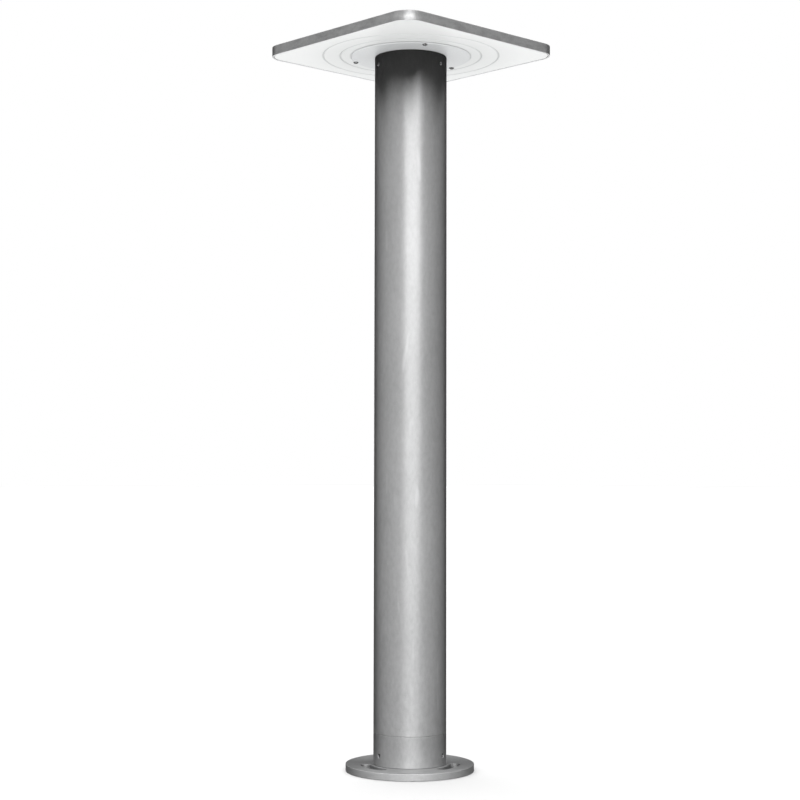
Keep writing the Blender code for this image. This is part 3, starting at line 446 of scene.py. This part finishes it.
def spun_disc():
    """A face turned on a lathe: rings of fine grooves that throw a fan of light. Its upright edges are
    painted near-white as painted light.
    """
    nodes = Nodes("spun_disc", grey(0.72), 0.42, 0.22)
    radius = nodes.axis_distance()
    wave = nodes.tree.nodes.new("ShaderNodeTexNoise")
    wave.noise_dimensions = "1D"
    wave.inputs["Scale"].default_value = 2600.0
    wave.inputs["Detail"].default_value = 2.0
    nodes.link(radius, wave.inputs["W"])
    grooves = wave.outputs["Fac"]
    face = nodes.mix(nodes.ramp(grooves, 0.3, 0.7), (0.68, 0.695, 0.70), (0.78, 0.795, 0.80))
    # painted light: upright faces, the disc's outer edge among them, are painted near-white
    nodes.colour(nodes.mix(nodes.steepness(), face, grey(0.93)))
    nodes.roughness(nodes.ramp(grooves, 0.3, 0.7, 0.36, 0.48))
    nodes.bump(grooves, 0.2, 0.00004)
    nodes.stretch(0.6, upright=True)
    return nodes.material


def opal_panel():
    """White opal acrylic, satin below: painted shade makes it faintly greyer towards the post and along the
    two pressed rings.
    """
    nodes = Nodes("opal_panel", (0.9, 0.91, 0.905), 0.42, 0.0)
    clouds = nodes.noise(22.0, 3.0, 0.5)
    fine = nodes.noise(1400.0, 1.0, 0.5)
    radius = nodes.math("ADD", nodes.axis_distance(), nodes.math("MULTIPLY", clouds, 0.02))
    # painted shade: greyer near the post, whiter towards the panel's edge
    near = (0.80, 0.815, 0.81)
    far = (0.915, 0.925, 0.92)
    face = nodes.mix(nodes.ramp(radius, 0.085, 0.165), near, far)
    # painted shade: a darker line along the groove of each pressed ring
    for ring in RING_RADII:
        offset = nodes.math("ABSOLUTE", nodes.math("SUBTRACT", nodes.axis_distance(), ring))
        face = nodes.mix(nodes.ramp(offset, 0.6 * MM, 1.8 * MM), (0.66, 0.675, 0.675), face)
    nodes.colour(face)
    nodes.roughness(nodes.ramp(fine, 0.3, 0.7, 0.38, 0.46))
    nodes.bump(fine, 0.1, 0.00003)
    return nodes.material


def bright_steel():
    nodes = Nodes("bright_steel", grey(0.66), 0.24, 1.0)
    scuffs = nodes.noise(900.0, 3.0, 0.6, (1, 1, 0.3))
    nodes.colour(nodes.mix(nodes.ramp(scuffs, 0.3, 0.7), grey(0.58), grey(0.74)))
    nodes.roughness(nodes.ramp(scuffs, 0.3, 0.7, 0.18, 0.34))
    nodes.bump(scuffs, 0.15, 0.00005)
    return nodes.material


def zinc_sheet():
    """Spangled zinc plating."""
    nodes = Nodes("zinc_sheet", grey(0.52), 0.42, 0.95)
    spangle = nodes.spots(160.0)
    nodes.colour(nodes.mix(nodes.ramp(spangle, 0.1, 0.8), grey(0.46), grey(0.62)))
    nodes.roughness(nodes.ramp(spangle, 0.1, 0.8, 0.32, 0.50))
    nodes.bump(nodes.noise(500.0), 0.15, 0.00005)
    return nodes.material


def moulded(name, dark, light, roughness):
    """Moulded plastic with a fine spark-eroded texture."""
    nodes = Nodes(name, light, roughness, 0.0)
    texture = nodes.noise(1100.0, 2.0, 0.6)
    clouds = nodes.noise(45.0, 3.0, 0.5)
    nodes.colour(nodes.mix(nodes.ramp(clouds, 0.3, 0.7), dark, light))
    nodes.roughness(nodes.ramp(texture, 0.3, 0.7, roughness - 0.05, roughness + 0.07))
    nodes.bump(texture, 0.25, 0.00008)
    return nodes.material


def plain_brass():
    nodes = Nodes("plain_brass", (0.60, 0.45, 0.18), 0.34, 1.0)
    clouds = nodes.noise(180.0, 3.0, 0.6)
    nodes.colour(nodes.mix(nodes.ramp(clouds, 0.3, 0.7), (0.48, 0.34, 0.13), (0.68, 0.52, 0.22)))
    nodes.roughness(nodes.ramp(clouds, 0.3, 0.7, 0.26, 0.44))
    nodes.bump(clouds, 0.1, 0.00005)
    return nodes.material


def make_materials():
    return {
        "brushed_aluminium": anodised("tube_finish", 0.45, 0.55),
        "collar_aluminium": anodised("collar_finish", 0.40, 0.49),
        "cover_aluminium": rolled_cover(),
        "hub_aluminium": spun_disc(),
        "coated_aluminium": blasted_casting(),
        "stainless_steel": bright_steel(),
        "galvanised_steel": zinc_sheet(),
        "opal_acrylic": opal_panel(),
        "black_rubber": moulded("black_rubber", (0.018, 0.018, 0.018), (0.032, 0.032, 0.032), 0.62),
        "grey_nylon": moulded("grey_nylon", (0.075, 0.075, 0.080), (0.105, 0.105, 0.110), 0.50),
        "white_plastic": moulded("white_plastic", (0.66, 0.66, 0.63), (0.74, 0.74, 0.72), 0.42),
        "earth_insulation": moulded("earth_insulation", (0.10, 0.32, 0.06), (0.14, 0.40, 0.09), 0.40),
        "board_mask": moulded("board_mask", (0.74, 0.76, 0.74), (0.83, 0.85, 0.83), 0.34),
        "brass": plain_brass(),
    }


MATERIALS = make_materials()


def dress(piece, material, slot, body, *nodes):
    """Gives a new piece its finish and its body, and hides the CAD solids that it stands for."""
    even_shading(piece)
    piece.data.materials.clear()
    piece.data.materials.append(MATERIALS[material])
    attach(piece, body)
    if nodes:
        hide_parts(*nodes)
    return piece


# ---------------------------------------------------------------- base
def slot_azimuths():
    return [SLOT_AZIMUTH + turn for turn in THIRDS]


def collar_screw_azimuths():
    return [azimuth + 60 for azimuth in slot_azimuths()]


def slot_cutter(azimuth):
    """A bolt slot with a small bevel at both faces."""
    lip = 0.5 * MM
    top = FLANGE_HIGH.z
    stations = [(-2 * MM, 2 * lip), (0.0, lip), (lip, 0.0), (top - lip, 0.0), (top, lip),
                (top + 2 * MM, 2 * lip)]
    loops = []
    for height, flare in stations:
        outline = kidney(SLOT_WIDTH + 2 * flare, azimuth)
        loops.append([(x, y, height) for x, y in outline])
    return loft("cutter", loops, ring=False)


def make_flange():
    top = FLANGE_HIGH.z
    profile = [(CABLE_HOLE, top), (FLANGE_RADIUS, top), (FLANGE_RADIUS, 0.0), (CABLE_HOLE, 0.0)]
    flange = turned("flange_plate", fillet(profile, 0.6 * MM), 256)
    cutters = [slot_cutter(azimuth) for azimuth in slot_azimuths()]
    for azimuth in collar_screw_azimuths():
        cone = [(COLLAR_SCREW_HOLE, 20 * MM), (COLLAR_SCREW_HOLE, 3 * MM),
                (COLLAR_SCREW_SINK, 0.5 * MM), (COLLAR_SCREW_SINK, -2 * MM)]
        cutter = turned("cutter", cone, 48, ring=False)
        cutter.matrix_world = upright(COLLAR_SCREW_RADIUS, azimuth, 0.0)
        cutters.append(cutter)
    cut(flange, cutters)
    return dress(flange, "coated_aluminium", "coated_aluminium", "post", "base_flange")


def make_collar():
    bottom, top = COLLAR_LOW.z, COLLAR_HIGH.z
    profile = [(COLLAR_BORE, top), (POST_RADIUS, top), (POST_RADIUS, bottom), (COLLAR_BORE, bottom)]
    collar = turned("collar_ring", fillet(profile, 0.5 * MM), 256)
    cutters = []
    for azimuth in slot_azimuths():
        place = outward(0.0, azimuth, BASE_GRUB_HEIGHT)
        cutters.append(countersunk_bar(BASE_GRUB_HOLE, 0.2 * MM, POST_RADIUS, 15 * MM, place))
    for azimuth in collar_screw_azimuths():
        cutters.append(bar(COLLAR_SCREW_HOLE, 0.0, 20 * MM, upright(COLLAR_SCREW_RADIUS, azimuth, 0.0)))
    cut(collar, cutters)
    return dress(collar, "collar_aluminium", "brushed_aluminium", "post", "base_collar")


def make_base_spigot():
    shoulder = TUBE_LOW.z
    low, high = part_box("base_spigot")
    radius = TUBE_BORE - GAP
    profile = [
        (22 * MM, high.z), (radius, high.z), (radius, shoulder), (39.7 * MM, shoulder), (39.7 * MM, low.z),
        (34 * MM, low.z), (34 * MM, 56 * MM), (42 * MM, 56 * MM), (42 * MM, high.z - 4 * MM),
        (22 * MM, high.z - 4 * MM),
    ]
    spigot = turned("foot_sleeve", fillet(profile, 0.4 * MM, 3), 160)
    tray_screw_holes = [bar(2.3 * MM, 90 * MM, 120 * MM, Matrix.Translation((x, 29 * MM, 0)))
                        for x in (-18 * MM, 18 * MM)]
    cut(spigot, tray_screw_holes)
    return dress(spigot, "coated_aluminium", "coated_aluminium", "post", "base_spigot")


# ---------------------------------------------------------------- post
def make_tube():
    bottom, top = TUBE_LOW.z, TUBE_HIGH.z
    profile = [(TUBE_BORE, top), (POST_RADIUS, top), (POST_RADIUS, bottom), (TUBE_BORE, bottom)]
    tube = turned("tube_skin", fillet(profile, 0.35 * MM, 3), 256)
    cutters = []
    for turn in THIRDS:
        place = outward(0.0, TOP_GRUB_AZIMUTH + turn, TOP_GRUB_HEIGHT)
        cutters.append(countersunk_bar(TOP_GRUB_HOLE, 0.15 * MM, POST_RADIUS, 10 * MM, place))
    cut(tube, cutters)
    return dress(tube, "brushed_aluminium", "brushed_aluminium", "post", "post_tube")


def grub_screw(name, radius, length, place):
    """A set screw with a hexagon socket: open end at local z = 0, cone point at -length."""
    edge = 0.35 * MM
    profile = [(radius * 0.62, 0.0), (radius - edge, 0.0), (radius, -edge), (radius, edge - length),
               (radius * 0.6, -length)]
    screw = turned(name, profile, 48, ring=False)
    socket = turned("cutter", [(radius * 0.56, 1 * MM), (radius * 0.56, -0.5 * length)], 6, ring=False)
    cut(screw, [socket])
    screw.matrix_world = place
    return screw


def make_grub_screws():
    made = []
    for number, turn in enumerate(THIRDS, 1):
        face = POST_RADIUS - 0.8 * MM
        base = grub_screw("foot_set_screw_%d" % number, 3 * MM, face - COLLAR_BORE,
                          outward(face, SLOT_AZIMUTH + turn, BASE_GRUB_HEIGHT))
        dress(base, "stainless_steel", "stainless_steel", "post", "base_grub_screw_%d" % number)
        face = POST_RADIUS - 0.4 * MM
        top = grub_screw("neck_set_screw_%d" % number, 2.5 * MM, 3.8 * MM,
                         outward(face, TOP_GRUB_AZIMUTH + turn, TOP_GRUB_HEIGHT))
        dress(top, "stainless_steel", "stainless_steel", "post", "top_grub_screw_%d" % number)
        made += [base, top]
    return made


def make_collar_screws():
    """Countersunk socket screws, seen from below."""
    made = []
    for number, azimuth in enumerate(collar_screw_azimuths(), 1):
        profile = [(2.5 * MM, 19 * MM), (2.5 * MM, 3 * MM), (4.6 * MM, 0.9 * MM), (4.5 * MM, 0.75 * MM)]
        screw = turned("foot_screw_%d" % number, profile, 48, ring=False)
        cut(screw, [turned("cutter", [(1.7 * MM, -1 * MM), (1.7 * MM, 2.6 * MM)], 6, ring=False)])
        screw.matrix_world = upright(COLLAR_SCREW_RADIUS, azimuth, 0.0)
        made.append(dress(screw, "stainless_steel", "stainless_steel", "post", "collar_screw_%d" % number))
    return made


# ---------------------------------------------------------------- head
def make_cover():
    """The square pan, swept from its section: roof, rounded rim, ledge and room."""
    bottom, top = COVER_LOW.z, COVER_HIGH.z
    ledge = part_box("head_gasket")[1].z + GAP
    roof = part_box("heat_spreader")[1].z + GAP
    section = [(60 * MM, top), (0.0, top), (0.0, bottom), (RIM_WALL, bottom), (RIM_WALL, ledge),
               (8.5 * MM, ledge), (8.5 * MM, roof), (60 * MM, roof)]
    sharp = {0, 4, 5, 6, 7}
    loops = []
    for inset, height in fillet(section, 0.8 * MM, 5, sharp):
        corner = max(HEAD_CORNER - inset, 3 * MM)
        loops.append([(x, y, height) for x, y in rounded_square(HEAD_SIDE - 2 * inset, corner, 24)])
    cover = loft("cover_shell", loops, ring=False)
    return dress(cover, "cover_aluminium", "brushed_aluminium", "head", "head_cover")


def square_reach(turn, side, corner):
    """Distance from the centre to the edge of a rounded square, in the direction turn."""
    half = side / 2
    across, along = abs(math.cos(turn)), abs(math.sin(turn))
    reach = half / max(across, along)
    inset = half - corner
    if min(across, along) * reach <= inset:
        return reach
    dot = inset * (across + along)
    return dot + math.sqrt(max(dot ** 2 - 2 * inset ** 2 + corner ** 2, 0.0))


def hub_screw_bars(low, high):
    """Cutters for the hub screws' holes in a sheet between two heights."""
    return [bar(HUB_SCREW_HOLE, low - 2 * MM, high + 2 * MM,
                upright(HUB_SCREW_RADIUS, HUB_SCREW_AZIMUTH + turn, 0)) for turn in THIRDS]


def make_panel():
    """The opal panel: flat below, with two pressed rings and a soft edge."""
    low, high = PANEL_LOW.z, PANEL_HIGH.z
    steps = 360
    dips = [(PANEL_BORE, high), (PANEL_BORE, low + 0.3 * MM), (PANEL_BORE + 0.3 * MM, low)]
    for radius in RING_RADII:
        for offset, depth in RING_GROOVE:
            dips.append((radius + offset * MM, low + depth * MM))
    shape_rows = [[(radius, height)] * steps for radius, height in dips]
    corner = HEAD_CORNER - RIM_WALL - GAP
    edges = ((6.0, low), (0.6, low), (0.18, low + 0.18 * MM), (0.0, low + 0.6 * MM), (0.0, high))
    for inset, height in edges:
        row = []
        for step in range(steps):
            turn = 2 * math.pi * step / steps
            side = PANEL_SIDE - 2 * inset * MM
            row.append((square_reach(turn, side, corner - min(inset * MM, corner / 2)), height))
        shape_rows.append(row)
    loops = []
    for row in shape_rows:
        loop = []
        for step, (radius, height) in enumerate(row):
            turn = 2 * math.pi * step / steps
            loop.append((radius * math.cos(turn), radius * math.sin(turn), height))
        loops.append(loop)
    panel = loft("opal_sheet", loops, ring=True)
    cut(panel, hub_screw_bars(low, high))
    return dress(panel, "opal_acrylic", "opal_acrylic", "head", "diffuser")


def make_hub_plate():
    low, high = HUB_LOW.z, HUB_HIGH.z
    profile = [(TUBE_BORE, high), (HUB_RADIUS, high), (HUB_RADIUS, high - 0.3 * MM),
               (HUB_RADIUS - 1.8 * MM, low), (TUBE_BORE, low)]
    hub = turned("hub_disc", fillet(profile, 0.1 * MM, 3), 256)
    cut(hub, hub_screw_bars(low, high))
    return dress(hub, "hub_aluminium", "hub_aluminium", "head", "hub_plate")


def make_hub_screws():
    """Dome-headed socket screws under the hub disc."""
    made = []
    radius, height, shank, length = 3.6 * MM, 2.3 * MM, 2 * MM, 10.5 * MM
    dome = [(radius * math.sin(turn), height * math.cos(turn))
            for turn in (math.radians(20 + 10 * step) for step in range(8))]
    profile = dome + [(radius, 0.0), (shank, 0.0), (shank, -length)]
    for number, turn in enumerate(THIRDS, 1):
        screw = turned("hub_dome_screw_%d" % number, profile, 64, ring=False)
        cut(screw, [turned("cutter", [(1.45 * MM, 4 * MM), (1.45 * MM, 0.9 * MM)], 6, ring=False)])
        screw.matrix_world = hanging(HUB_SCREW_RADIUS, HUB_SCREW_AZIMUTH + turn, HUB_LOW.z - GAP)
        dress(screw, "stainless_steel", "stainless_steel", "head", "hub_screw_%d" % number)
        made.append(screw)
    return made


def dress_cad_nodes():
    """Every CAD solid that still shows, or that sits inside, takes the material of its slot."""
    for subpart in frame["record"]["subparts"]:
        node = frame["nodes"][subpart["node"]]
        node.data.materials.clear()
        node.data.materials.append(MATERIALS[subpart["material_slot"]])


# ---------------------------------------------------------------- stage, light and camera
CAMERA_AZIMUTH = 46.29
CAMERA_DISTANCE = 2.346
CAMERA_HEIGHT = 0.405
CAMERA_PITCH = 2.50
CAMERA_YAW = 0.348
CAMERA_ROLL = 0.10
CAMERA_LENS = 76.4


def hide_from_reflections(*pieces):
    """Leaves the pieces out of reflections, so that the tube's top stays dark under the white head."""
    for piece in pieces:
        piece.visible_glossy = False
        piece.visible_diffuse = False


def make_camera():
    data = bpy.data.cameras.new("camera")
    data.lens = CAMERA_LENS
    data.sensor_width = 36.0
    data.clip_start = 0.05
    data.clip_end = 60.0
    camera = bpy.data.objects.new("camera", data)
    bpy.context.scene.collection.objects.link(camera)
    x, y = polar(CAMERA_DISTANCE, CAMERA_AZIMUTH)
    aim = Euler((math.radians(90 + CAMERA_PITCH), 0.0, math.radians(CAMERA_AZIMUTH + CAMERA_YAW)))
    roll = Matrix.Rotation(math.radians(CAMERA_ROLL), 4, "Z")
    camera.matrix_world = Matrix.Translation((x, y, CAMERA_HEIGHT)) @ aim.to_matrix().to_4x4() @ roll
    bpy.context.scene.camera = camera


# the sky's strength behind and in front, near the ground and overhead, and the heights it fades between
BACK_LIGHT = 1.00
FRONT_LIGHT = 3.08
LOW_LIGHT = 0.05
SKY_FOOT = 0.24
SKY_HEAD = 0.50
ZENITH_LIGHT = 0.5
KEY_AZIMUTH = -8.0
# watts, one bank every 20 degrees round the front
LOW_BANKS = (0.14, 0.22, 0.27, 0.30, 0.33, 0.40, 0.44, 0.39, 0.31, 0.29, 0.23, 0.18, 0.15)


def make_world():
    """White behind the object. The light on it comes from above, and more of it from the camera's side."""
    world = bpy.data.worlds.new("studio")
    bpy.context.scene.world = world
    world.use_nodes = True
    tree = world.node_tree
    background = tree.nodes["Background"]
    background.inputs["Color"].default_value = (1, 1, 1, 1)

    def spread(value, low, high, low_value, high_value):
        node = tree.nodes.new("ShaderNodeMapRange")
        node.inputs["From Min"].default_value = low
        node.inputs["From Max"].default_value = high
        node.inputs["To Min"].default_value = low_value
        tree.links.new(value, node.inputs["Value"])
        if isinstance(high_value, float):
            node.inputs["To Max"].default_value = high_value
        else:
            tree.links.new(high_value, node.inputs["To Max"])
        return node

    direction = tree.nodes.new("ShaderNodeTexCoord").outputs["Generated"]
    facing = tree.nodes.new("ShaderNodeVectorMath")
    facing.operation = "DOT_PRODUCT"
    facing.inputs[1].default_value = (*polar(1.0, CAMERA_AZIMUTH + KEY_AZIMUTH), 0.0)
    tree.links.new(direction, facing.inputs[0])
    around = spread(facing.outputs["Value"], -1.0, 1.0, BACK_LIGHT, FRONT_LIGHT)
    height = tree.nodes.new("ShaderNodeSeparateXYZ")
    tree.links.new(direction, height.inputs["Vector"])
    sky = spread(height.outputs["Z"], SKY_FOOT, SKY_HEAD, LOW_LIGHT, around.outputs["Result"])
    sky.interpolation_type = "SMOOTHSTEP"
    zenith = spread(height.outputs["Z"], 0.6, 1.0, 1.0, ZENITH_LIGHT)
    light = tree.nodes.new("ShaderNodeMath")
    light.operation = "MULTIPLY"
    tree.links.new(sky.outputs["Result"], light.inputs[0])
    tree.links.new(zenith.outputs["Result"], light.inputs[1])
    path = tree.nodes.new("ShaderNodeLightPath")
    shown = tree.nodes.new("ShaderNodeMix")
    shown.inputs["B"].default_value = 1.0
    tree.links.new(path.outputs["Is Camera Ray"], shown.inputs["Factor"])
    tree.links.new(light.outputs["Value"], shown.inputs["A"])
    tree.links.new(shown.outputs["Result"], background.inputs["Strength"])


def make_floor():
    """A wide pale floor. Seen from below it lets the view through, so the underside can be looked at."""
    shape = bmesh.new()
    bmesh.ops.create_grid(shape, x_segments=1, y_segments=1, size=40.0)
    floor = make_piece("floor", shape)
    if floor.data.polygons[0].normal.z < 0:
        floor.data.flip_normals()
    floor.location.z = -0.2 * MM
    floor.visible_glossy = False
    floor.visible_diffuse = False
    material = bpy.data.materials.new("floor_paper")
    material.use_nodes = True
    tree = material.node_tree
    shader = tree.nodes["Principled BSDF"]
    shader.inputs["Base Color"].default_value = (0.55, 0.55, 0.55, 1)
    shader.inputs["Roughness"].default_value = 1.0
    shader.inputs["Specular IOR Level"].default_value = 0.0
    side = tree.nodes.new("ShaderNodeNewGeometry")
    clear = tree.nodes.new("ShaderNodeBsdfTransparent")
    mix = tree.nodes.new("ShaderNodeMixShader")
    tree.links.new(side.outputs["Backfacing"], mix.inputs["Fac"])
    tree.links.new(shader.outputs["BSDF"], mix.inputs[1])
    tree.links.new(clear.outputs["BSDF"], mix.inputs[2])
    tree.links.new(mix.outputs["Shader"], tree.nodes["Material Output"].inputs["Surface"])
    floor.data.materials.append(material)
    return floor


def area_light(name, azimuth, distance, height, target_height, width, tall, watts):
    """A soft box at an azimuth counted from the camera's, aimed at a height on the post."""
    data = bpy.data.lights.new(name, "AREA")
    data.shape = "RECTANGLE"
    data.size = width
    data.size_y = tall
    data.energy = watts
    light = bpy.data.objects.new(name, data)
    bpy.context.scene.collection.objects.link(light)
    x, y = polar(distance, CAMERA_AZIMUTH + azimuth)
    light.location = (x, y, height)
    aim = Vector((0, 0, target_height)) - light.location
    light.rotation_euler = aim.to_track_quat("-Z", "Y").to_euler()
    light.visible_camera = False
    return light


def rising_light(name, height, side, watts):
    """A square soft box on the post's axis that shines straight up."""
    light = area_light(name, 0, 0.0, height, 1.0, side, side, watts)
    light.rotation_euler = (math.pi, 0, 0)
    return light


def only_on(light, pieces, shaded_by_all=False):
    """The light falls on these pieces alone. Only they throw its shadows, unless everything does."""
    receivers = bpy.data.collections.new(light.name + "_receivers")
    for piece in pieces:
        receivers.objects.link(piece)
    light.light_linking.receiver_collection = receivers
    if not shaded_by_all:
        light.light_linking.blocker_collection = receivers


def not_on(light, piece):
    """The light falls on everything but this piece."""
    spared = bpy.data.collections.new(light.name + "_spared")
    spared.objects.link(piece)
    spared.collection_objects[0].light_linking.link_state = "EXCLUDE"
    light.light_linking.receiver_collection = spared


def make_lights(floor, post, lit_from_below, underside):
    """One strip in front, a ring of low banks, a bank behind, and light from below for the undersides."""
    not_on(area_light("front_strip", 7, 3.0, 2.50, 0.60, 2.90, 1.4, 62), floor)
    for number, watts in enumerate(LOW_BANKS):
        low = area_light("low_bank_%d" % number, 20 * number - 120, 3.0, 0.55, 0.0, 2.1, 0.9, watts)
        low.data.spread = math.radians(34)
        not_on(low, floor)
    only_on(area_light("back_bank", 180, 3.0, 1.4, 0.6, 0.9, 2.2, 30), post, shaded_by_all=True)
    only_on(rising_light("panel_light", 0.12, 6.0, 125), lit_from_below)
    only_on(rising_light("under_light", -1.2, 3.0, 13), underside)


def make_floor_light(floor):
    """A wide, soft sun that draws the object's shadow on the floor and reaches nothing else."""
    sun = bpy.data.lights.new("floor_light", "SUN")
    sun.energy = 2.6
    sun.angle = math.radians(70)
    floor_light = bpy.data.objects.new("floor_light", sun)
    bpy.context.scene.collection.objects.link(floor_light)
    floor_light.rotation_euler = (math.radians(-38), 0.0, math.radians(CAMERA_AZIMUTH + 12))
    only_on(floor_light, [floor], shaded_by_all=True)


def make_glints(hub_screws, grub_screws):
    """Small lamps that only the screws catch."""
    only_on(area_light("hub_screw_glint", -20, 0.30, 0.35, 0.98, 0.16, 0.16, 0.5), hub_screws)
    only_on(rising_light("hub_screw_fill", 0.10, 5.0, 12), hub_screws)
    for azimuth in (-126, 112):
        side = area_light("grub_glint_%d" % (azimuth + 180), azimuth, 2.0, 0.9, 0.6, 1.2, 1.6, 9)
        only_on(side, grub_screws)


def build():
    dress_cad_nodes()
    flange = make_flange()
    collar = make_collar()
    sleeve = make_base_spigot()
    tube = make_tube()
    grubs = make_grub_screws()
    foot_screws = make_collar_screws()
    cover = make_cover()
    panel = make_panel()
    hub = make_hub_plate()
    screws = make_hub_screws()
    hide_from_reflections(panel, hub, *screws)
    make_camera()
    make_world()
    floor = make_floor()
    make_lights(floor, [tube, collar], [cover, panel, hub], [flange, collar, sleeve, *foot_screws])
    make_floor_light(floor)
    make_glints(screws, grubs)
    bpy.context.scene.view_settings.view_transform = "Standard"


build()
